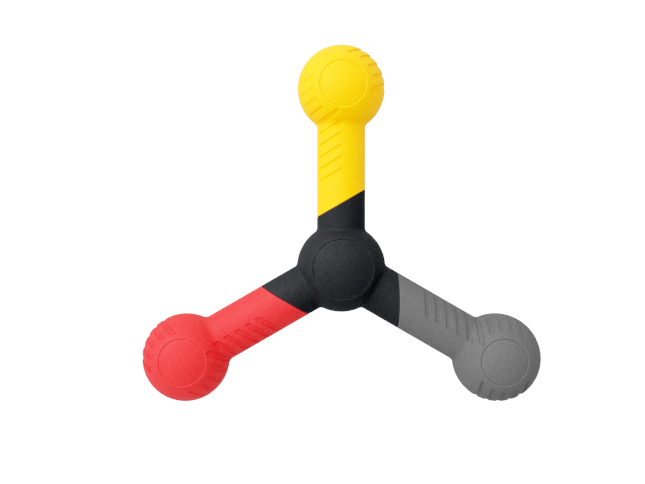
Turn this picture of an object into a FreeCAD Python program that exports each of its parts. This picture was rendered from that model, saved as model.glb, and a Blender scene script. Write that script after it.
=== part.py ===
"""Three-armed soft throwing toy: three identical rubber-skinned arms plugged into a clamped hub.

Each arm is a round rubber sleeve over a two-part rigid core. Its ball end is closed by a domed soft disc
on the front and on the back. The arm cores end in headed spigots that two hub core halves clamp. Two black
rubber covers close the hub, out to the slanted seams where the coloured sleeves begin.

Frame: origin at the hub's centre, half way through its thickness; +Z out of the front face; +Y along
the yellow arm. An arm is drawn along +Y and then turned about Z into its place. Millimetres.
"""

import FreeCAD, Part
import math
import os

from FreeCAD import Placement, Rotation, Vector

# Driving dimensions
SPAN = 200.0              # across two neighbouring ball ends, outside to outside
END_R = 22.0              # ball end of an arm
HUB_R = 22.3              # ball at the middle
ARM_R = 11.95
END_BLEND_R = 4.0         # hollow where an arm runs into its ball end
HUB_BLEND_R = 2.5         # hollow where an arm runs into the hub
SKIN = 3.5                # rubber thickness
FIT = 0.1                 # room between the rubber and the core
CORE_WALL = 2.0

# Cover discs: domed caps set a little below the ball round them
END_SEAT_R = 11.35
HUB_SEAT_R = 14.7
DISC_GAP = 0.25           # round a disc, in its seat
DISC_SUNK = 0.5           # a disc's dome below the ball
DISC_ROUND = 0.5          # softened edge of a disc
SEAT_FLARE = 0.6          # the seat opens out by this where it meets the ball
END_DOME_Z = 21.3         # top of an end's dome, from mid-thickness
HUB_DOME_Z = 21.1         # the hub's is flatter, so that the toy lies on its ends
DOME_FLAT = 0.1           # cut off the top of a dome, to leave the small flat it lies on

# Slanted lines: the colour seam and the grip grooves
SLANT_DEG = 30.0
SEAM_U = 32.5             # from the hub's centre to the seam, on the arm's centre line
GROOVE_FIRST_U = 48.5     # the same for the innermost groove
GROOVE_PITCH = 5.9        # along the arm
GROOVE_WIDTH = 2.25       # square to the groove
GROOVE_DEPTH = 0.45
ARM_GROOVES = 5           # on the left side of the arm only
BALL_GROOVES = 5          # on the left side of the ball end
GROOVE_END_X = -0.2       # blunt end of the arm's grooves, beside the centre line
SHORT_GROOVE_END_X = -2.0
GROOVE_FREE_R = 14.75     # smooth ring left round an end's disc
PLAIN_SIDE_DEG = 23.0     # the left grooves stop this far from the middle of the arm's side

# Grip grooves round the right side of the ball end, placed by where they cross its outline
SIDE_GROOVES = 5
SIDE_FIRST_DEG = 1.5
SIDE_STEP_DEG = 14.2
SIDE_SLANT_DEG = 24.0
SIDE_FREE_R = 15.0        # they stop at a circle that lies a little further out than the disc
SIDE_FREE_SHIFT = 1.5

# Spigot that holds an arm in the hub
HEAD_U = (10.0, 13.9)     # wide head, from the hub's centre
NECK_U = (13.9, 17.1)     # narrow neck
NECK_INSET = 1.5          # neck's radius less than the tube's
SOLID_TO_U = 19.0         # the core is hollow beyond this
COLLAR_U = (14.1, 16.9)   # hub wall that grips the neck
COLLAR_R = 10.5
SPIGOT_PLAY = 0.1

# Screws: radii, and heights from mid-thickness
END_SCREW = {"shank": 1.48, "pilot": 1.5, "hole": 1.7, "head": 2.75, "head_h": 2.0,
             "sink": 3.2, "boss": 6.0, "seat_z": -6.0, "tip_z": 9.4, "pilot_z": 10.0}
HUB_SCREW = {"shank": 1.23, "pilot": 1.25, "hole": 1.45, "head": 2.25, "head_h": 1.6,
             "sink": 2.6, "boss": 3.6, "seat_z": -5.0, "tip_z": 6.8, "pilot_z": 7.4}
HUB_SCREW_CIRCLE_R = 12.0
HUB_SCREW_ANGLES = (30.0, 150.0, 270.0)
SOCKET_R = 1.3            # drive recess in a screw head
SOCKET_DEPTH = 1.1
STUD_R = 3.1              # stud behind a disc, in its hole in the core
STUD_HOLE_R = 3.2
STUD_END_Z = 15.6
STUD_HOLE_END_Z = 15.3

# Worked out from the above
ARM_LENGTH = (SPAN - 2 * END_R) / math.sqrt(3.0)
CORE_INSET = SKIN + FIT
HUB_CENTRE = Vector(0, 0, 0)
END_CENTRE = Vector(0, ARM_LENGTH, 0)
ALONG_ARM = Vector(0, 1, 0)
ARMS = {"yellow": 0.0, "red": 120.0, "grey": 240.0}
TO_HUB_DEG = -90.0        # from an end's centre towards the hub
BETWEEN_ARMS_DEG = 30.0
FAR = 80.0                # bigger than anything it has to cut


def cylinder(radius, z_from, z_to, at=HUB_CENTRE):
    return Part.makeCylinder(radius, z_to - z_from, Vector(at.x, at.y, z_from))


def rod(radius, u_from, u_to):
    """A round length of arm, along +Y."""
    return Part.makeCylinder(radius, u_to - u_from, Vector(0, u_from, 0), ALONG_ARM)


def box(x, y, z):
    """A box from three (low, high) pairs."""
    return Part.makeBox(x[1] - x[0], y[1] - y[0], z[1] - z[0], Vector(x[0], y[0], z[0]))


def ball(radius, centre, seam_deg):
    """A sphere whose own seam line faces the given way, clear of the edges cut into it."""
    sphere = Part.makeSphere(radius)
    sphere.Placement = Placement(centre, Rotation(Vector(0, 0, 1), seam_deg))
    return sphere


def turned(shape, degrees):
    """A copy of a shape, turned about the hub's axis."""
    copy = shape.copy()
    copy.rotate(HUB_CENTRE, Vector(0, 0, 1), degrees)
    return copy


def turned_over(shape):
    """The same piece on the back: a copy turned half round about the arm's own line."""
    copy = shape.copy()
    copy.rotate(HUB_CENTRE, ALONG_ARM, 180)
    return copy


def front_half(shape):
    return shape.common(box((-2 * FAR, 2 * FAR), (-2 * FAR, 2 * FAR), (0, FAR)))


def back_half(shape):
    return shape.common(box((-2 * FAR, 2 * FAR), (-2 * FAR, 2 * FAR), (-FAR, 0)))


def slanted_block(u, low, high):
    """A tall block that crosses the arm on the slant, between two distances from the slanted line."""
    block = box((-FAR, FAR), (low, high), (-FAR, FAR))
    block.Placement = Placement(Vector(0, u, 0), Rotation(Vector(0, 0, 1), SLANT_DEG))
    return block


def beyond_seam():
    return slanted_block(SEAM_U, 0, 2 * FAR)


def blend_edges(body):
    """The edges where a rod runs into a ball: a ball face on one side and a rod face on the other."""
    found = []
    for edge in body.Edges:
        faces = [] if edge.Degenerated else body.ancestorsOfType(edge, Part.Face)
        balls = [isinstance(face.Surface, Part.Sphere) for face in faces]
        if len(balls) == 2 and any(balls) and not all(balls):
            found.append(edge)
    return found


def arm_body(inset):
    """Arm and ball end in one, from the hub's centre outwards, set in all over by a distance."""
    body = rod(ARM_R - inset, 0, ARM_LENGTH).fuse(ball(END_R - inset, END_CENTRE, TO_HUB_DEG))
    return body.makeFillet(END_BLEND_R + inset, blend_edges(body))


def hub_body(inset):
    """The ball at the middle with its three stubs, set in all over by a distance."""
    body = ball(HUB_R - inset, HUB_CENTRE, BETWEEN_ARMS_DEG)
    for angle in ARMS.values():
        body = body.fuse(turned(rod(ARM_R - inset, 0, FAR), angle))
    body = body.removeSplitter()
    return body.makeFillet(HUB_BLEND_R + inset, blend_edges(body))


def plain_side():
    """A wedge about the arm's own line, open to the left, that the left grooves stay out of."""
    rise = FAR * math.tan(math.radians(PLAIN_SIDE_DEG))
    outline = Part.makePolygon([HUB_CENTRE, Vector(-FAR, 0, rise), Vector(-FAR, 0, -rise), HUB_CENTRE])
    return Part.Face(outline).extrude(Vector(0, 2 * FAR, 0))


def left_grooves():
    """The left grooves as tall blocks: innermost first, up the arm and then across the ball."""
    smooth_ring = cylinder(GROOVE_FREE_R, -FAR, FAR, END_CENTRE)
    plain = plain_side()
    for index in range(ARM_GROOVES + BALL_GROOVES):
        end_x = SHORT_GROOVE_END_X if index == ARM_GROOVES else GROOVE_END_X
        left = box((-FAR, end_x), (-FAR, 2 * FAR), (-FAR, FAR))
        u = GROOVE_FIRST_U + index * GROOVE_PITCH
        block = slanted_block(u, -GROOVE_WIDTH / 2, GROOVE_WIDTH / 2).common(left).cut(plain)
        yield block.cut(smooth_ring) if index > ARM_GROOVES else block


def side_grooves():
    """The right grooves as tall blocks, from the hub's side of the ball end to its far side."""
    right = box((0, FAR), (-FAR, 2 * FAR), (-FAR, FAR))
    smooth_side = cylinder(SIDE_FREE_R, -FAR, FAR, END_CENTRE + Vector(0, SIDE_FREE_SHIFT, 0))
    for index in range(SIDE_GROOVES):
        turn = math.radians(SIDE_FIRST_DEG + index * SIDE_STEP_DEG)
        rim = END_CENTRE + Vector(END_R * math.cos(turn), END_R * math.sin(turn), 0)
        block = box((-FAR, FAR), (-GROOVE_WIDTH / 2, GROOVE_WIDTH / 2), (-FAR, FAR))
        block.Placement = Placement(rim, Rotation(Vector(0, 0, 1), SIDE_SLANT_DEG))
        yield block.common(right).cut(smooth_side)


def seat(seat_r, ball_r, centre):
    """What to cut for a ball's two disc seats: a straight hole, flared where it meets the ball."""
    disc_edge_z = math.sqrt((ball_r - DISC_SUNK) ** 2 - seat_r ** 2)
    flare_h = ball_r - disc_edge_z
    flare_r = seat_r + SEAT_FLARE * flare_h / DISC_SUNK
    flare = Part.makeCone(seat_r, flare_r, flare_h, Vector(centre.x, centre.y, disc_edge_z))
    other_flare = flare.mirror(centre, Vector(0, 0, 1))
    return cylinder(seat_r, -FAR, FAR, centre).fuse(flare).fuse(other_flare)


def sleeve():
    """The coloured rubber skin of an arm, with its grip grooves and its two disc seats."""
    groove_floors = arm_body(GROOVE_DEPTH)
    skin = arm_body(0).cut([*left_grooves(), *side_grooves()]).fuse(groove_floors)
    skin = skin.cut(arm_body(SKIN)).common(beyond_seam())
    return skin.cut(seat(END_SEAT_R, END_R, END_CENTRE))


def hub_cover():
    """The black skin of the hub before it is split, out to the three slanted seams."""
    skin = hub_body(0).cut(hub_body(SKIN))
    for angle in ARMS.values():
        skin = skin.cut(turned(beyond_seam(), angle))
    return skin.cut(seat(HUB_SEAT_R, HUB_R, HUB_CENTRE))


def cover_disc(seat_r, ball_r, dome_z):
    """A domed disc on the core's ball, about the Z axis, with a stud that plugs the hole behind it."""
    radius = seat_r - DISC_GAP
    rise = dome_z - math.sqrt((ball_r - DISC_SUNK) ** 2 - radius ** 2)
    dome_r = (radius ** 2 + rise ** 2) / (2 * rise)
    dome = Part.makeSphere(dome_r, Vector(0, 0, dome_z - dome_r))
    disc = cylinder(radius, 0, dome_z - DOME_FLAT).common(dome)
    rims = [edge for edge in disc.Edges if not edge.Degenerated and isinstance(edge.Curve, Part.Circle)
            and abs(edge.Curve.Radius - radius) < FIT and edge.Curve.Center.z > FIT]
    disc = disc.makeFillet(DISC_ROUND, rims)
    disc = disc.cut(Part.makeSphere(ball_r - SKIN))
    stud = cylinder(STUD_R, STUD_END_Z, dome_z - DOME_FLAT).common(dome)
    return disc.fuse(stud).removeSplitter()


def screw(size):
    """A pan-head screw that goes in from the back, along Z, with a drive recess in its head."""
    head_z = size["seat_z"] - size["head_h"]
    body = cylinder(size["shank"], size["seat_z"], size["tip_z"])
    body = body.fuse(cylinder(size["head"], head_z, size["seat_z"]))
    return body.cut(cylinder(SOCKET_R, head_z, head_z + SOCKET_DEPTH))


def screw_holes(size, at):
    """Counterbore, clearance hole and blind pilot hole for a screw."""
    sink = cylinder(size["sink"], -FAR, size["seat_z"], at)
    hole = cylinder(size["hole"], size["seat_z"], 0, at)
    return sink.fuse(hole).fuse(cylinder(size["pilot"], 0, size["pilot_z"], at))


def stud_holes(at):
    """The blind holes in a core's front and back that take the studs of its two discs."""
    front = cylinder(STUD_HOLE_R, STUD_HOLE_END_Z, FAR, at)
    return front.fuse(cylinder(STUD_HOLE_R, -FAR, -STUD_HOLE_END_Z, at))


def arm_core():
    """The arm's rigid core before it is split: spigot, hollow tube, hollow ball and screw boss."""
    outer = arm_body(CORE_INSET).common(box((-FAR, FAR), (NECK_U[1], 2 * FAR), (-FAR, FAR)))
    inset = CORE_INSET + CORE_WALL
    hollow = rod(ARM_R - inset, SOLID_TO_U, ARM_LENGTH)
    hollow = hollow.fuse(ball(END_R - inset, END_CENTRE, TO_HUB_DEG))
    hollow = hollow.cut(cylinder(END_SCREW["boss"], -FAR, FAR, END_CENTRE))
    head = rod(ARM_R - CORE_INSET, *HEAD_U)
    neck = rod(ARM_R - CORE_INSET - NECK_INSET, NECK_U[0] - 1, NECK_U[1] + 1)
    core = outer.cut(hollow).fuse(head).fuse(neck)
    return core.cut(screw_holes(END_SCREW, END_CENTRE)).cut(stud_holes(END_CENTRE)).removeSplitter()


def hub_screw_places():
    for angle in HUB_SCREW_ANGLES:
        turn = math.radians(angle)
        yield Vector(HUB_SCREW_CIRCLE_R * math.cos(turn), HUB_SCREW_CIRCLE_R * math.sin(turn), 0)


def spigot_way():
    """The room in the hub core for one arm's spigot."""
    radius = ARM_R - CORE_INSET + SPIGOT_PLAY
    head = rod(radius, HEAD_U[0] - SPIGOT_PLAY, COLLAR_U[0])
    neck = rod(radius - NECK_INSET, COLLAR_U[0] - 1, COLLAR_U[1] + 1)
    return rod(radius, COLLAR_U[1], FAR).fuse(neck).fuse(head)


def hub_core():
    """The hub's rigid core before it is split: a shell with three collars and three screw bosses."""
    shell = ball(HUB_R - CORE_INSET, HUB_CENTRE, BETWEEN_ARMS_DEG)
    room = ball(HUB_R - CORE_INSET - CORE_WALL, HUB_CENTRE, BETWEEN_ARMS_DEG)
    for angle in ARMS.values():
        room = room.cut(turned(rod(COLLAR_R, COLLAR_U[0], FAR), angle))
    for place in hub_screw_places():
        room = room.cut(cylinder(HUB_SCREW["boss"], -FAR, FAR, place))
    core = shell.cut(room)
    for angle in ARMS.values():
        core = core.cut(turned(spigot_way(), angle))
    for place in hub_screw_places():
        core = core.cut(screw_holes(HUB_SCREW, place))
    return core.cut(stud_holes(HUB_CENTRE)).removeSplitter()


def write(name, shape):
    """Saves a node, after a check that it is sound and closed."""
    solids = shape.Solids
    if not solids or not shape.isValid():
        raise ValueError(name + " is not a sound solid")
    result = solids[0] if len(solids) == 1 else Part.makeCompound(solids)
    result.exportStep(os.path.join("parts", name + ".step"))
    print(f"{name:20s} {len(solids)} solid(s) {result.Volume / 1000:7.2f} cm3")


def write_arms():
    core = arm_core()
    disc = cover_disc(END_SEAT_R, END_R, END_DOME_Z)
    disc.translate(END_CENTRE)
    end_screw = screw(END_SCREW)
    end_screw.translate(END_CENTRE)
    pieces = {"sleeve": sleeve(), "core_front": front_half(core), "core_back": back_half(core),
              "core_screw": end_screw, "front_disc": disc, "back_disc": turned_over(disc)}
    for colour, angle in ARMS.items():
        for piece, shape in pieces.items():
            write(f"{colour}_{piece}", turned(shape, angle))


def write_hub():
    cover = hub_cover()
    core = hub_core()
    disc = cover_disc(HUB_SEAT_R, HUB_R, HUB_DOME_Z)
    screws = []
    for place in hub_screw_places():
        one = screw(HUB_SCREW)
        one.translate(place)
        screws.append(one)
    write("hub_cover_front", front_half(cover))
    write("hub_cover_back", back_half(cover))
    write("hub_core_front", front_half(core))
    write("hub_core_back", back_half(core))
    write("hub_screws", Part.makeCompound(screws))
    write("hub_front_disc", disc)
    write("hub_back_disc", turned_over(disc))


os.makedirs("parts", exist_ok=True)
write_arms()
write_hub()
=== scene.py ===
"""Looks of the three-armed throwing toy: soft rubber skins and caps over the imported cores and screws.

The rubber pieces are made as implicit surfaces: a function gives the signed distance to the surface,
a net of points is laid over it on a regular grid, and the points are then settled onto the surface.
Shapes are worked out in millimetres, in the frame of the CAD model, and stored in metres.
"""

import math

import bpy
import numpy as np
from mathutils import Matrix, Vector


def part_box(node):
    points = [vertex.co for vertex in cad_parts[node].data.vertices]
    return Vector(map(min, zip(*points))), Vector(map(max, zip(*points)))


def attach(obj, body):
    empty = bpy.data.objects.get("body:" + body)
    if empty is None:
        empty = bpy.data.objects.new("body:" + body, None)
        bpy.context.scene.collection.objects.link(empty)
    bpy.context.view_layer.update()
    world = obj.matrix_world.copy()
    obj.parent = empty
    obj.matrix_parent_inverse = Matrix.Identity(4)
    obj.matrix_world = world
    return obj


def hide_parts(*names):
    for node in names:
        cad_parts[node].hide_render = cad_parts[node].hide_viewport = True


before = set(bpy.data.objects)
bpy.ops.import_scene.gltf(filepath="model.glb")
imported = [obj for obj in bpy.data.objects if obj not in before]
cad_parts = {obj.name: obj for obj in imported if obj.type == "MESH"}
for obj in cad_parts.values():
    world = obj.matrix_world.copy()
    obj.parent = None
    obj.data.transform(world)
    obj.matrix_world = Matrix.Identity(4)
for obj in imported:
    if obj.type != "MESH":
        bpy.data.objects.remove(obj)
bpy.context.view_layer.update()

MM = 0.001

# The arms: name and turn about Z from the yellow arm's place along +Y
ARMS = {"yellow": 0.0, "red": 120.0, "grey": 240.0}

# Sizes read off the frame
sleeve_low, sleeve_high = (np.array(corner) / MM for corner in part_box("yellow_sleeve"))
disc_low, disc_high = (np.array(corner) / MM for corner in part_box("yellow_front_disc"))
hub_disc_high = np.array(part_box("hub_front_disc")[1]) / MM
END_R = (sleeve_high[0] - sleeve_low[0]) / 2
ARM_LENGTH = sleeve_high[1] - END_R
END_CAP_TOP = disc_high[2]
HUB_CAP_TOP = hub_disc_high[2]
END_DISC_R = (disc_high[0] - disc_low[0]) / 2
HUB_DISC_R = hub_disc_high[0]
FLOOR_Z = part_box("yellow_back_disc")[0].z

# Driving sizes, in millimetres
HUB_R = 22.3
ARM_R = 12.15
END_BLEND_R = 4.0         # true radius of the hollow between arm and ball end
HUB_BLEND_R = 2.5
SKIN = 3.5
SLANT = math.radians(30.0)
SEAM_U = 32.5             # seam from the hub's centre, on the arm's centre line
SEAM_PRESS = 0.02         # two skins press into each other by this
SEAM_ROUND = 0.35         # softened edge of a coloured skin at the seam
HUB_SEAM_ROUND = 0.25
PARTING_ROUND = 0.25
GROOVE_FIRST_U = 48.5
GROOVE_PITCH = 5.9
GROOVE_WIDTH = 2.25
GROOVE_DEPTH = 0.60
GROOVE_SOFT = 0.24        # half the width of a groove's sloping wall
GROOVE_FADE = (0.25, 0.5)  # the left grooves run out towards the arm's side, by height over radius
GROOVE_CORNER = 0.5
ARM_GROOVES = 5
BALL_GROOVES = 5
GROOVE_END_X = -0.2
SHORT_GROOVE_END_X = -2.0
GROOVE_FREE_R = 14.75
ARM_DEPTH = 0.8           # of the full depth, in the arm's grooves
FAR_DEPTH = 0.5           # the same for the left grooves beyond the neck, between these distances
FAR_FROM_U = (78.0, 86.0)
SIDE_GROOVES = 5          # round the right of the ball end
SIDE_FIRST = math.radians(1.5)
SIDE_STEP = math.radians(14.2)
SIDE_SLANT = math.radians(24.0)
SIDE_FREE_R = 14.3
SIDE_FREE_SHIFT = 1.5
SIDE_RIM_DEPTH = 0.6      # of the full depth, where they cross the ball's outline
SEAT_PLAY = 0.03          # round a cap, in its seat
SEAT_SLOPE = 0.70         # the seat's wall opens out by this above the cap's edge
SEAT_ROUND = 0.25         # softened edge of a seat
CAP_SUNK = 0.5
SEAT_STEEPNESS = CAP_SUNK / math.hypot(CAP_SUNK, SEAT_SLOPE)
CAP_ROUND = 0.2
STUD_R = 3.1
STUD_ROUND = 0.4
STUD_END_Z = 15.6

# Meshing, in millimetres where it is a length
NET_STEP = 0.37           # between the points of the net
SLAB = 24                 # grid planes worked out at a time
SETTLE_ROUNDS = 3
SLOPE_STEP = 0.02         # either side of a point, for the gradient
LEAST_STEEPNESS = 0.2     # squared gradient below this is not trusted
DEEP_FROM = 2.0           # below the outer surface, where the faces may be large
DEEP_CUT = 0.86           # share of those faces taken out
DEEP_FAVOUR = 10.0        # how strongly the thinning keeps to them
CAP_DOME_STEPS = 24
CAP_ROUND_STEPS = 5
CAP_TURNS = 144
CAP_SHARP = math.radians(50.0)
RIM_REACH = 0.5           # how far wear reaches from a rim


# Signed distances, negative inside

def round_intersection(a, b, radius):
    """What is inside both, with a rounded edge where the two surfaces cross."""
    corner = np.hypot(np.maximum(radius + a, 0), np.maximum(radius + b, 0))
    return np.minimum(-radius, np.maximum(a, b)) + corner


def smooth_step(value, low, high):
    t = np.clip((value - low) / (high - low), 0, 1)
    return t * t * (3 - 2 * t)


def ball_with_rod(along, across, ball_r, blend_r):
    """A ball with a round rod that leaves it along one axis, joined by a hollow of a true radius."""
    centre_across = ARM_R + blend_r
    centre_along = math.sqrt((ball_r + blend_r) ** 2 - centre_across ** 2)
    ball = np.hypot(along, across) - ball_r
    rod = np.where(along > 0, across - ARM_R, np.inf)
    hollow = blend_r - np.hypot(along - centre_along, across - centre_across)
    in_hollow = (along < centre_along) & (across * centre_along < along * centre_across)
    return np.where(in_hollow, hollow, np.minimum(ball, rod))


def slanted(x, y, u):
    """Distance outwards from the slanted line that crosses the arm's centre line at u."""
    return (y - u) * math.cos(SLANT) - x * math.sin(SLANT)


def left_groove(x, y):
    """Distance from the nearest left groove's outline, seen along Z. Negative in the groove."""
    steps = slanted(x, y, GROOVE_FIRST_U) / (GROOVE_PITCH * math.cos(SLANT))
    index = np.clip(np.round(steps), 0, ARM_GROOVES + BALL_GROOVES - 1)
    strip = np.abs(slanted(x, y, GROOVE_FIRST_U + index * GROOVE_PITCH)) - GROOVE_WIDTH / 2
    end = x - np.where(index == ARM_GROOVES, SHORT_GROOVE_END_X, GROOVE_END_X)
    smooth_ring = GROOVE_FREE_R - np.hypot(x, y - ARM_LENGTH)
    end = np.where(index > ARM_GROOVES, np.maximum(end, smooth_ring), end)
    return round_intersection(strip, end, GROOVE_CORNER)


def side_groove(x, y):
    """The same for the grooves round the ball end's right side."""
    strip = np.inf
    for index in range(SIDE_GROOVES):
        turn = SIDE_FIRST + index * SIDE_STEP
        across = x - END_R * math.cos(turn)
        along = y - ARM_LENGTH - END_R * math.sin(turn)
        middle = np.abs(along * math.cos(SIDE_SLANT) - across * math.sin(SIDE_SLANT))
        strip = np.minimum(strip, middle - GROOVE_WIDTH / 2)
    end = np.maximum(SIDE_FREE_R - np.hypot(x, y - ARM_LENGTH - SIDE_FREE_SHIFT), -x)
    return round_intersection(strip, end, GROOVE_CORNER)


def groove_mask(x, y, z):
    """1 on the floor of a groove of full depth, 0 outside the grooves."""
    lean = smooth_step(np.abs(z) / np.maximum(np.hypot(x, z), GROOVE_SOFT), *GROOVE_FADE)
    left = lean * (ARM_DEPTH + (FAR_DEPTH - ARM_DEPTH) * smooth_step(y, *FAR_FROM_U))
    side = SIDE_RIM_DEPTH + (1 - SIDE_RIM_DEPTH) * lean
    left = left * (1 - smooth_step(left_groove(x, y), -GROOVE_SOFT, GROOVE_SOFT))
    side = side * (1 - smooth_step(side_groove(x, y), -GROOVE_SOFT, GROOVE_SOFT))
    return np.maximum(left, side)


def seat_wall(body, around, cap_r):
    """Distance from the wall of a cap's seat: straight below, and sloping out above the cap's edge."""
    depth = np.clip(-body / CAP_SUNK, 0, 1)
    return (cap_r + SEAT_PLAY + SEAT_SLOPE * (1 - depth) - around) * SEAT_STEEPNESS


def arm_outside(x, y, z):
    return ball_with_rod(ARM_LENGTH - y, np.hypot(x, z), END_R, END_BLEND_R)


def sleeve_field(x, y, z):
    """The coloured skin of the yellow arm."""
    body = arm_outside(x, y, z)
    skin = np.maximum(body + GROOVE_DEPTH * groove_mask(x, y, z), -(body + SKIN))
    skin = round_intersection(skin, -SEAM_PRESS - slanted(x, y, SEAM_U), SEAM_ROUND)
    return round_intersection(skin, seat_wall(body, np.hypot(x, y - ARM_LENGTH), END_DISC_R), SEAT_ROUND)


def turned(x, y, degrees):
    """The point's place in the frame of an arm that is turned about Z."""
    angle = math.radians(degrees)
    return x * math.cos(angle) + y * math.sin(angle), y * math.cos(angle) - x * math.sin(angle)


def hub_outside(x, y, z):
    distance = np.inf
    for degrees in ARMS.values():
        across, along = turned(x, y, degrees)
        distance = np.minimum(distance, ball_with_rod(along, np.hypot(across, z), HUB_R, HUB_BLEND_R))
    return distance


def hub_cover_field(x, y, z):
    """The front half of the hub's black skin."""
    body = hub_outside(x, y, z)
    skin = np.maximum(body, -(body + SKIN))
    for degrees in ARMS.values():
        arm_x, arm_y = turned(x, y, degrees)
        skin = round_intersection(skin, slanted(arm_x, arm_y, SEAM_U) - SEAM_PRESS, HUB_SEAM_ROUND)
    skin = round_intersection(skin, seat_wall(body, np.hypot(x, y), HUB_DISC_R), SEAT_ROUND)
    return round_intersection(skin, -SEAM_PRESS - z, PARTING_ROUND)


# From a field to a mesh

CUBE_CORNERS = np.array([(i, j, k) for i in (0, 1) for j in (0, 1) for k in (0, 1)])
CUBE_EDGES = [(a, b) for a in range(8) for b in range(a + 1, 8)
              if abs(CUBE_CORNERS[a] - CUBE_CORNERS[b]).sum() == 1]


def sample(field, axes):
    """The field's values on a regular grid, a slab at a time."""
    x, y, z = axes
    values = np.empty((len(x), len(y), len(z)), np.float32)
    for start in range(0, len(x), SLAB):
        part = slice(start, start + SLAB)
        values[part] = field(x[part, None, None], y[None, :, None], z[None, None, :])
    return values


def net_points(values, cells):
    """One point in each crossed cell: the middle of the places where its edges cross the surface."""
    corners = cells[:, None, :] + CUBE_CORNERS
    at_corner = values[corners[..., 0], corners[..., 1], corners[..., 2]]
    total = np.zeros((len(cells), 3))
    count = np.zeros(len(cells))
    for a, b in CUBE_EDGES:
        crossed = (at_corner[:, a] < 0) != (at_corner[:, b] < 0)
        share = at_corner[:, a] / np.where(crossed, at_corner[:, a] - at_corner[:, b], 1)
        place = CUBE_CORNERS[a] + share[:, None] * (CUBE_CORNERS[b] - CUBE_CORNERS[a])
        total += np.where(crossed[:, None], place, 0)
        count += crossed
    return cells + total / count[:, None]


def net_quads(inside, ids):
    """A four-sided face round each grid edge that crosses the surface, facing out."""
    faces = []
    for axis in range(3):
        side_b, side_c = np.roll(np.eye(3, dtype=int), -1 - axis, axis=0)[:2]
        near = np.delete(inside, -1, axis)
        far = np.delete(inside, 0, axis)
        at = np.argwhere(near != far)
        at = at[(at @ side_b > 0) & (at @ side_c > 0)]
        ring = [at - side_b - side_c, at - side_c, at, at - side_b]
        quads = np.stack([ids[cell[:, 0], cell[:, 1], cell[:, 2]] for cell in ring], axis=1)
        outward = near[at[:, 0], at[:, 1], at[:, 2]]
        faces.append(np.where(outward[:, None], quads, quads[:, ::-1]))
    return np.concatenate(faces)


def slope(field, points):
    """The field's gradient at each point."""
    columns = []
    for axis in range(3):
        step = np.zeros(3)
        step[axis] = SLOPE_STEP
        ahead, behind = (points + step).T, (points - step).T
        columns.append((field(*ahead) - field(*behind)) / (2 * SLOPE_STEP))
    return np.stack(columns, axis=1)


def to_surface(field, points):
    gradient = slope(field, points)
    steepness = np.maximum((gradient ** 2).sum(1), LEAST_STEEPNESS)
    shift = (field(*points.T) / steepness)[:, None] * gradient
    return points - np.clip(shift, -NET_STEP / 2, NET_STEP / 2), gradient


def settle(field, points, quads):
    """Evens the points out along the surface and brings them onto it."""
    starts = quads.ravel()
    ends = np.roll(quads, -1, axis=1).ravel()
    count = np.bincount(starts, minlength=len(points)) + np.bincount(ends, minlength=len(points))
    points, gradient = to_surface(field, points)
    for _ in range(SETTLE_ROUNDS):
        total = np.stack([np.bincount(starts, points[ends, axis], len(points))
                          + np.bincount(ends, points[starts, axis], len(points))
                          for axis in range(3)], axis=1)
        pull = (total / count[:, None] - points) / 2
        normal = gradient / np.linalg.norm(gradient, axis=1, keepdims=True)
        pull -= (pull * normal).sum(1, keepdims=True) * normal
        points, gradient = to_surface(field, points + pull)
    return to_surface(field, points)[0]


def surface_net(field, low, high):
    """Points and four-sided faces over the surface where the field is zero."""
    axes = [np.arange(start - NET_STEP, end + 2 * NET_STEP, NET_STEP) for start, end in zip(low, high)]
    values = sample(field, axes)
    inside = values < 0
    counts = sum(inside[i:inside.shape[0] - 1 + i, j:inside.shape[1] - 1 + j,
                        k:inside.shape[2] - 1 + k].astype(np.int8) for i, j, k in CUBE_CORNERS)
    cells = np.argwhere((counts > 0) & (counts < 8))
    ids = np.full(counts.shape, -1, np.int64)
    ids[cells[:, 0], cells[:, 1], cells[:, 2]] = np.arange(len(cells))
    points = np.array([axis[0] for axis in axes]) + net_points(values, cells) * NET_STEP
    quads = net_quads(inside, ids)
    return settle(field, points, quads), quads


def thinned(points, quads, deep):
    """The same surface as a mesh, with most of its faces taken out where deep is true."""
    mesh = bpy.data.meshes.new("rough")
    mesh.from_pydata(points, [], quads)
    rough = bpy.data.objects.new("rough", mesh)
    bpy.context.scene.collection.objects.link(rough)
    group = rough.vertex_groups.new(name="deep")
    for index in np.flatnonzero(deep):
        group.add([int(index)], 1.0, "REPLACE")
    thin = rough.modifiers.new("thin", "DECIMATE")
    thin.ratio = 1 - DEEP_CUT * deep.mean()
    thin.vertex_group = group.name
    thin.vertex_group_factor = DEEP_FAVOUR
    result = bpy.data.meshes.new_from_object(rough.evaluated_get(bpy.context.evaluated_depsgraph_get()))
    bpy.data.objects.remove(rough)
    bpy.data.meshes.remove(mesh)
    return result


def places(mesh):
    """The places of a mesh's points, one row each."""
    found = np.empty(len(mesh.vertices) * 3)
    mesh.vertices.foreach_get("co", found)
    return found.reshape(-1, 3)


def store(mesh, name, values):
    """Keeps one number at each point, for the materials."""
    kept = mesh.attributes.new(name, "FLOAT", "POINT")
    kept.data.foreach_set("value", values.astype(np.float32))


def skin_mesh(field, low, high, outside, grooves, rims):
    """A rubber skin's mesh in millimetres. It stores where the grooves are, and how near a worn rim is."""
    points, quads = surface_net(field, low, high)
    mesh = thinned(points, quads, outside(*points.T) < -DEEP_FROM)
    points = places(mesh)
    x, y, z = points.T
    store(mesh, "groove", grooves(x, y, z))
    store(mesh, "rim", np.exp(-rims(x, y, z) / RIM_REACH) * (outside(x, y, z) > -RIM_REACH))
    normals = slope(field, points)
    normals /= np.linalg.norm(normals, axis=1, keepdims=True)
    mesh.shade_smooth()
    mesh.normals_split_custom_set_from_vertices(normals)
    return mesh


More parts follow.
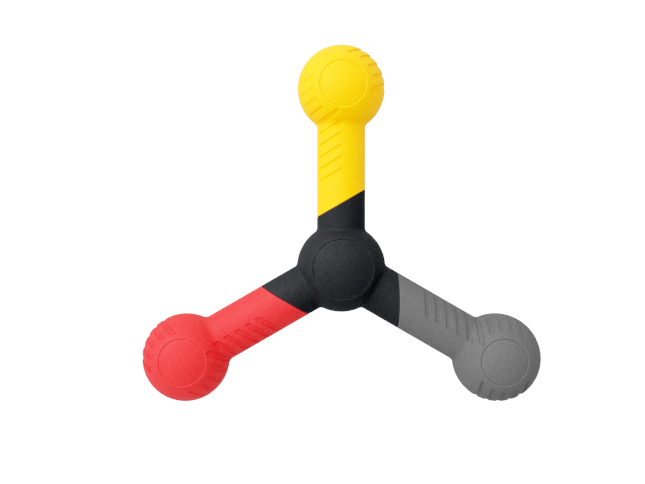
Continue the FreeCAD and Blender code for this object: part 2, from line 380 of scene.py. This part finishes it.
def arc(centre, radius, start, end, steps):
    """Points of a profile along a round stretch, from one angle to another."""
    angles = np.linspace(start, end, steps + 1)
    return [(centre[0] + radius * math.cos(a), centre[1] + radius * math.sin(a)) for a in angles]


def lathe(profile, turns):
    """A closed mesh turned about Z from (radius, height) points that start and end on the axis."""
    angles = np.arange(turns) * 2 * math.pi / turns
    rings = [(r * math.cos(a), r * math.sin(a), z) for r, z in profile[1:-1] for a in angles]
    points = [(0, 0, profile[0][1])] + rings + [(0, 0, profile[-1][1])]
    last = len(points) - 1
    faces = []
    for side in range(turns):
        following = (side + 1) % turns
        faces.append((0, 1 + side, 1 + following))
        for ring in range(len(profile) - 3):
            start = 1 + ring * turns
            faces.append((start + side, start + turns + side, start + turns + following, start + following))
        start = last - turns
        faces.append((start + side, last, start + following))
    mesh = bpy.data.meshes.new("lathe")
    mesh.from_pydata(points, [], faces)
    return mesh


def cap_mesh(radius, top, ball_r):
    """A domed cap in millimetres, about its ball's centre, with a stud below."""
    edge_z = math.sqrt((ball_r - CAP_SUNK) ** 2 - radius ** 2)
    rise = top - edge_z
    dome_r = (radius ** 2 + rise ** 2) / (2 * rise)
    dome_centre = (0, top - dome_r)
    round_r = radius - CAP_ROUND
    round_z = dome_centre[1] + math.sqrt((dome_r - CAP_ROUND) ** 2 - round_r ** 2)
    dome_end = math.atan2(round_z - dome_centre[1], round_r)
    core_r = ball_r - SKIN
    profile = arc(dome_centre, dome_r, math.pi / 2, dome_end, CAP_DOME_STEPS)
    profile += arc((round_r, round_z), CAP_ROUND, dome_end, 0, CAP_ROUND_STEPS)[1:]
    profile += arc((0, 0), core_r, math.acos(radius / core_r), math.acos(STUD_R / core_r), CAP_DOME_STEPS)
    stud_corner = (STUD_R - STUD_ROUND, STUD_END_Z + STUD_ROUND)
    profile += arc(stud_corner, STUD_ROUND, 0, -math.pi / 2, CAP_ROUND_STEPS)
    profile.append((0, STUD_END_Z))
    mesh = lathe(profile, CAP_TURNS)
    points = places(mesh)
    around = np.hypot(points[:, 0], points[:, 1])
    store(mesh, "groove", np.zeros(len(points)))
    store(mesh, "rim", np.exp(-np.abs(radius - around) / RIM_REACH))
    mesh.shade_smooth()
    mesh.set_sharp_from_angle(angle=CAP_SHARP)
    return mesh


def placed(mesh, name, material, slot, *moves):
    """A piece made from a mesh in millimetres: copied, moved, scaled to metres and given its material."""
    copy = mesh.copy()
    copy.name = name
    for move in moves:
        copy.transform(move)
    copy.transform(Matrix.Scale(MM, 4))
    copy.materials.append(material)
    piece = bpy.data.objects.new(name, copy)
    bpy.context.scene.collection.objects.link(piece)
    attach(piece, "root")
    return piece


# Materials: sizes and depths of what marks the rubber are in millimetres

CLOUD_SIZE = 14.0
SPECK_SIZE = 0.9
WEAR_SIZE = 3.0
SMEAR_SIZE = 9.0
SMEAR_GLOSS = 0.06        # roughness, either way
GROOVE_DULLER = 0.08
RIM_GLOSSIER = 0.15
WAVE_SIZE = 7.0
WAVE_DEPTH = 0.10
PEBBLE_SIZE = 0.55
PEBBLE_DEPTH = 0.15
SCRATCH_SIZE = 0.5
SCRATCH_DEPTH = 0.012
GRAIN_SIZE = 0.25
GRAIN_DEPTH = 0.040


def node(tree, kind, inputs=None, **settings):
    """Adds a shader node. An input takes a plain value, or another node's output."""
    made = tree.nodes.new("ShaderNode" + kind)
    for name, value in settings.items():
        setattr(made, name, value)
    for key, value in (inputs or {}).items():
        if isinstance(value, bpy.types.NodeSocket):
            tree.links.new(value, made.inputs[key])
        else:
            made.inputs[key].default_value = value
    return made


def noise(tree, place, size, detail=2.0, roughness=0.5, stretch=(1, 1, 1)):
    """Noise whose features are about so many millimetres across, from 0 to 1."""
    scaled = node(tree, "Mapping", {"Vector": place, "Scale": stretch})
    made = node(tree, "TexNoise", {"Vector": scaled.outputs["Vector"], "Scale": 1 / (size * MM),
                                   "Detail": detail, "Roughness": roughness})
    return made.outputs["Fac"]


def spread(tree, value, low, high, to_low=0.0, to_high=1.0):
    """Maps a range of a value onto another, held at its ends."""
    made = node(tree, "MapRange", {"Value": value, "From Min": low, "From Max": high,
                                   "To Min": to_low, "To Max": to_high})
    return made.outputs["Result"]


def maths(tree, operation, a, b):
    return node(tree, "Math", {0: a, 1: b}, operation=operation).outputs[0]


def mixed(tree, share, a, b, blend_type="MIX"):
    made = node(tree, "Mix", {0: share, 6: a, 7: b}, data_type="RGBA", blend_type=blend_type)
    return made.outputs[2]


def stored(tree, name):
    return node(tree, "Attribute", attribute_name=name).outputs["Fac"]


def bumped(tree, height, depth, normal=None):
    """Adds relief of a depth in millimetres to a normal."""
    inputs = {"Height": height, "Distance": depth * MM, "Strength": 1.0}
    if normal is not None:
        inputs["Normal"] = normal
    return node(tree, "Bump", inputs).outputs["Normal"]


def material(name):
    """A new material with its node tree, its main shader and the place of a point in metres."""
    made = bpy.data.materials.new(name)
    made.use_nodes = True
    tree = made.node_tree
    shader = tree.nodes["Principled BSDF"]
    place = node(tree, "TexCoord").outputs["Object"]
    return made, tree, shader, place


def rubber(name, usual, deep, worn, roughness=0.60, specular=0.20):
    """Matt moulded rubber: fine pebbled grain, cloudy tone, painted shade in the grooves and polished rims.
    """
    made, tree, shader, place = material(name)
    colour, deep_colour, worn_colour = ((*tone, 1) for tone in (usual, deep, worn))
    groove = stored(tree, "groove")
    rim = stored(tree, "rim")
    clouds = noise(tree, place, CLOUD_SIZE, detail=3.0)
    specks = noise(tree, place, SPECK_SIZE, detail=3.0, roughness=0.65)
    tone = mixed(tree, spread(tree, clouds, 0.3, 0.7, 0.0, 0.22), colour, deep_colour)
    tone = mixed(tree, spread(tree, specks, 0.42, 0.70, 0.0, 0.7), tone, deep_colour)
    tone = mixed(tree, spread(tree, specks, 0.25, 0.45, 0.7, 0.0), tone, worn_colour)
    # Painted shade: the grooves are pulled towards the deeper tone, standing in for the shade that falls in
    # them.
    tone = mixed(tree, maths(tree, "MULTIPLY", groove, spread(tree, clouds, 0.3, 0.7, 0.15, 0.35)),
                 tone, deep_colour)
    patchy = spread(tree, noise(tree, place, WEAR_SIZE), 0.35, 0.65, 0.1, 0.55)
    wear = maths(tree, "MULTIPLY", rim, patchy)
    tone = mixed(tree, wear, tone, worn_colour)
    tree.links.new(tone, shader.inputs["Base Color"])

    smears = noise(tree, place, SMEAR_SIZE, detail=4.0, roughness=0.6, stretch=(1, 0.5, 1))
    gloss = spread(tree, smears, 0.3, 0.7, roughness - SMEAR_GLOSS, roughness + SMEAR_GLOSS)
    gloss = maths(tree, "ADD", gloss, maths(tree, "MULTIPLY", groove, GROOVE_DULLER))
    gloss = maths(tree, "SUBTRACT", gloss, maths(tree, "MULTIPLY", wear, RIM_GLOSSIER))
    tree.links.new(gloss, shader.inputs["Roughness"])

    pebbles = node(tree, "TexVoronoi", {"Vector": place, "Scale": 1 / (PEBBLE_SIZE * MM), "Smoothness": 0.6},
                   feature="SMOOTH_F1").outputs["Distance"]
    scratches = noise(tree, place, SCRATCH_SIZE, detail=1.0, stretch=(0.06, 1, 1))
    normal = bumped(tree, noise(tree, place, WAVE_SIZE, detail=2.0), WAVE_DEPTH)
    normal = bumped(tree, pebbles, PEBBLE_DEPTH, normal)
    normal = bumped(tree, spread(tree, scratches, 0.66, 0.74, 0.0, -1.0), SCRATCH_DEPTH, normal)
    normal = bumped(tree, noise(tree, place, GRAIN_SIZE, detail=2.0), GRAIN_DEPTH, normal)
    tree.links.new(normal, shader.inputs["Normal"])
    shader.inputs["Specular IOR Level"].default_value = specular
    return made


def moulded_plastic(name, colour, flow_colour):
    """Rigid glass-filled plastic for the cores: streaky flow marks, fine fibres and a faint gloss."""
    made, tree, shader, place = material(name)
    flow = noise(tree, place, 5.0, detail=5.0, roughness=0.6, stretch=(1, 1, 0.3))
    fibres = noise(tree, place, 0.35, detail=2.0, stretch=(1, 0.12, 1))
    tone = mixed(tree, spread(tree, flow, 0.35, 0.65), colour, flow_colour)
    tone = mixed(tree, spread(tree, fibres, 0.6, 0.8, 0.0, 0.5), tone, (0.32, 0.33, 0.34, 1))
    tree.links.new(tone, shader.inputs["Base Color"])
    tree.links.new(spread(tree, flow, 0.3, 0.7, 0.34, 0.52), shader.inputs["Roughness"])
    normal = bumped(tree, flow, 0.05)
    tree.links.new(bumped(tree, fibres, 0.012, normal), shader.inputs["Normal"])
    return made


def plated_steel(name):
    """Zinc-plated steel for the screws: turned marks round the axis, passivated tints and small stains."""
    made, tree, shader, place = material(name)
    turned_marks = noise(tree, place, 0.25, detail=2.0, stretch=(0.2, 0.2, 1))
    tint = noise(tree, place, 1.6, detail=3.0)
    stains = noise(tree, place, 0.7, detail=4.0, roughness=0.7)
    tone = mixed(tree, spread(tree, tint, 0.35, 0.65), (0.62, 0.63, 0.65, 1), (0.66, 0.63, 0.53, 1))
    tone = mixed(tree, spread(tree, stains, 0.6, 0.75, 0.0, 0.6), tone, (0.30, 0.28, 0.26, 1))
    tree.links.new(tone, shader.inputs["Base Color"])
    tree.links.new(spread(tree, stains, 0.35, 0.75, 0.24, 0.5), shader.inputs["Roughness"])
    tree.links.new(bumped(tree, turned_marks, 0.015), shader.inputs["Normal"])
    shader.inputs["Metallic"].default_value = 1.0
    return made


RUBBERS = {
    "yellow": rubber("yellow_rubber", (0.94, 0.405, 0.0015), (0.88, 0.355, 0.001), (0.98, 0.455, 0.01)),
    "red": rubber("red_rubber", (0.62, 0.0205, 0.022), (0.55, 0.013, 0.016), (0.68, 0.04, 0.04)),
    "grey": rubber("grey_rubber", (0.074, 0.074, 0.074), (0.060, 0.060, 0.061), (0.095, 0.095, 0.095),
                   roughness=0.62),
}
BLACK = rubber("black_rubber", (0.0118, 0.0124, 0.0142), (0.0085, 0.0090, 0.0106), (0.024, 0.025, 0.027),
               roughness=0.66, specular=0.16)
CORE = moulded_plastic("core_plastic", (0.040, 0.042, 0.046, 1), (0.062, 0.064, 0.068, 1))
STEEL = plated_steel("screw_steel")


# The object

def everywhere(value):
    """A groove or rim function that is the same everywhere."""
    return lambda x, y, z=0: np.full(np.shape(x), float(value))


def sleeve_rims(x, y, z):
    """Distance from the nearest rim of a sleeve: its seam, or the edge of a disc seat."""
    seam = slanted(x, y, SEAM_U)
    seat = np.hypot(x, y - ARM_LENGTH) - END_DISC_R
    return np.minimum(np.abs(seam), np.abs(seat))


def hub_rims(x, y, z):
    nearest = np.abs(np.hypot(x, y) - HUB_DISC_R)
    for degrees in ARMS.values():
        arm_x, arm_y = turned(x, y, degrees)
        nearest = np.minimum(nearest, np.abs(slanted(arm_x, arm_y, SEAM_U)))
    return nearest


def box_of(node_name):
    return [np.array(corner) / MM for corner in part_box(node_name)]


TURNED_OVER = Matrix.Rotation(math.pi, 4, "Y")
TO_END = Matrix.Translation((0, ARM_LENGTH, 0))

sleeve = skin_mesh(sleeve_field, sleeve_low, sleeve_high, arm_outside, groove_mask, sleeve_rims)
end_cap = cap_mesh(END_DISC_R, END_CAP_TOP, END_R)
for colour, degrees in ARMS.items():
    outwards = Matrix.Rotation(math.radians(degrees), 4, "Z")
    finish = RUBBERS[colour]
    slot = colour + "_rubber"
    skin = placed(sleeve, colour + "_skin", finish, slot, outwards)
    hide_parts(colour + "_sleeve")
    front = placed(end_cap, colour + "_front_cap", finish, slot, TO_END, outwards)
    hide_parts(colour + "_front_disc")
    back = placed(end_cap, colour + "_back_cap", finish, slot, TURNED_OVER, TO_END, outwards)
    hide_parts(colour + "_back_disc")

hub_fields = {"front": hub_cover_field, "back": lambda x, y, z: hub_cover_field(x, y, -z)}
hub_cap = cap_mesh(HUB_DISC_R, HUB_CAP_TOP, HUB_R)
for side, moves in (("front", []), ("back", [TURNED_OVER])):
    cover = "hub_cover_" + side
    hub_skin = skin_mesh(hub_fields[side], *box_of(cover), hub_outside, everywhere(0), hub_rims)
    skin = placed(hub_skin, "hub_" + side + "_skin", BLACK, "black_rubber")
    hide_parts(cover)
    cap = placed(hub_cap, "hub_" + side + "_cap", BLACK, "black_rubber", *moves)
    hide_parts("hub_" + side + "_disc")

for name, cad_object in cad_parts.items():
    if "screw" in name or "core" in name:
        cad_object.data.materials.clear()
        cad_object.data.materials.append(STEEL if "screw" in name else CORE)


# The studio

FLOOR_SIZE = 30.0         # these are in metres
FLOOR_GLOW = 0.93         # the white sheet that the camera sees is lit from below as well
FLOOR_TONES = (0.12, 0.14)
BOUNCE_TONES = (0.66, 0.70)
BOUNCE_DROP = 0.0001      # the grey sheet below the white one
KEY = {"place": (-0.69, 0.58, 0.76), "size": 0.8, "watts": 6.2}
SKY_AWAY = 0.43           # the dome's brightness on the side away from the key, and towards it
SKY_TOWARDS = 0.97
SKY_BELOW = 0.45          # of that, below the horizon
HORIZON_SOFT = 0.1
FILM_SPEED = 3.3
FILM_BLACK = 0.0105
FILM_STEPS = 24
ALL_CHANNELS = 3          # the combined curve's place in a curve mapping
CAMERA_PLACE = (-0.02225, 0.01996, 0.4271)
CAMERA_LENS = 47.25
CAMERA_SENSOR = 36.0
CAMERA_NEAR = 0.01
CAMERA_SHIFT = (0.0396, -0.0218)


def paper(name, tones, glow):
    """Plain matt paper, between two greys."""
    made, tree, shader, place = material(name)
    fibres = noise(tree, place, 1.5, detail=4.0)
    dark, light = ((tone, tone, tone, 1) for tone in tones)
    tree.links.new(mixed(tree, fibres, dark, light), shader.inputs["Base Color"])
    tree.links.new(bumped(tree, fibres, 0.03), shader.inputs["Normal"])
    shader.inputs["Roughness"].default_value = 0.9
    shader.inputs["Specular IOR Level"].default_value = 0.1
    shader.inputs["Emission Color"].default_value = (1, 1, 1, 1)
    shader.inputs["Emission Strength"].default_value = glow
    return made


def sheet_of(paper_material, name, height):
    mesh = bpy.data.meshes.new(name)
    half = FLOOR_SIZE / 2
    corners = [(-half, -half, height), (half, -half, height), (half, half, height), (-half, half, height)]
    mesh.from_pydata(corners, [], [(0, 1, 2, 3)])
    mesh.materials.append(paper_material)
    piece = bpy.data.objects.new(name, mesh)
    bpy.context.scene.collection.objects.link(piece)
    return piece


def floors():
    """A white sheet for the camera, and a pale grey one just below it that throws light at the object."""
    white = paper("floor_paper", FLOOR_TONES, FLOOR_GLOW)
    seen = sheet_of(white, "floor", FLOOR_Z)
    seen.visible_diffuse = False
    seen.visible_glossy = False
    seen.visible_transmission = False
    seen.visible_shadow = False
    pale = paper("bounce_paper", BOUNCE_TONES, 0.0)
    unseen = sheet_of(pale, "floor_bounce", FLOOR_Z - BOUNCE_DROP)
    unseen.visible_camera = False
    unseen.visible_glossy = False


def softbox(name, place, size, watts):
    """A square area light that faces the object."""
    light = bpy.data.lights.new(name, "AREA")
    light.shape = "SQUARE"
    light.size = size
    light.energy = watts
    lamp = bpy.data.objects.new(name, light)
    lamp.location = place
    lamp.rotation_euler = (-Vector(place)).to_track_quat("-Z", "Y").to_euler()
    lamp.visible_camera = False
    bpy.context.scene.collection.objects.link(lamp)


def sky():
    """A pale dome, brighter on the key's side."""
    world = bpy.data.worlds.new("studio")
    world.use_nodes = True
    tree = world.node_tree
    direction = node(tree, "TexCoord").outputs["Generated"]
    towards_key = Vector(KEY["place"][:2] + (0.0,)).normalized()
    side = node(tree, "VectorMath", {0: direction, 1: towards_key}, operation="DOT_PRODUCT").outputs["Value"]
    height = node(tree, "SeparateXYZ", {"Vector": direction}).outputs["Z"]
    strength = maths(tree, "MULTIPLY", spread(tree, side, -1.0, 1.0, SKY_AWAY, SKY_TOWARDS),
                     spread(tree, height, -HORIZON_SOFT, HORIZON_SOFT, SKY_BELOW, 1.0))
    background = tree.nodes["Background"]
    background.inputs["Color"].default_value = (1.0, 1.0, 1.0, 1)
    tree.links.new(strength, background.inputs["Strength"])
    bpy.context.scene.world = world


def camera():
    """Straight down, with the yellow arm up in the picture."""
    lens = bpy.data.cameras.new("camera")
    lens.lens = CAMERA_LENS
    lens.sensor_width = CAMERA_SENSOR
    lens.shift_x, lens.shift_y = CAMERA_SHIFT
    lens.clip_start = CAMERA_NEAR
    rig = bpy.data.objects.new("camera", lens)
    rig.location = CAMERA_PLACE
    bpy.context.scene.collection.objects.link(rig)
    bpy.context.scene.camera = rig


def film():
    """The camera's tone curve: deep tones are set a little lower and bright ones pressed together."""
    view = bpy.context.scene.view_settings
    view.view_transform = "Standard"
    view.use_curve_mapping = True
    mapping = view.curve_mapping
    mapping.extend = "HORIZONTAL"
    curve = mapping.curves[ALL_CHANNELS]
    for step in range(1, FILM_STEPS):
        tone = (step / FILM_STEPS) ** 2
        lit = max(tone - FILM_BLACK, 0) / (1 - FILM_BLACK)
        curve.points.new(tone, math.expm1(-FILM_SPEED * lit) / math.expm1(-FILM_SPEED))
    mapping.update()


floors()
softbox("key", **KEY)
sky()
camera()
film()
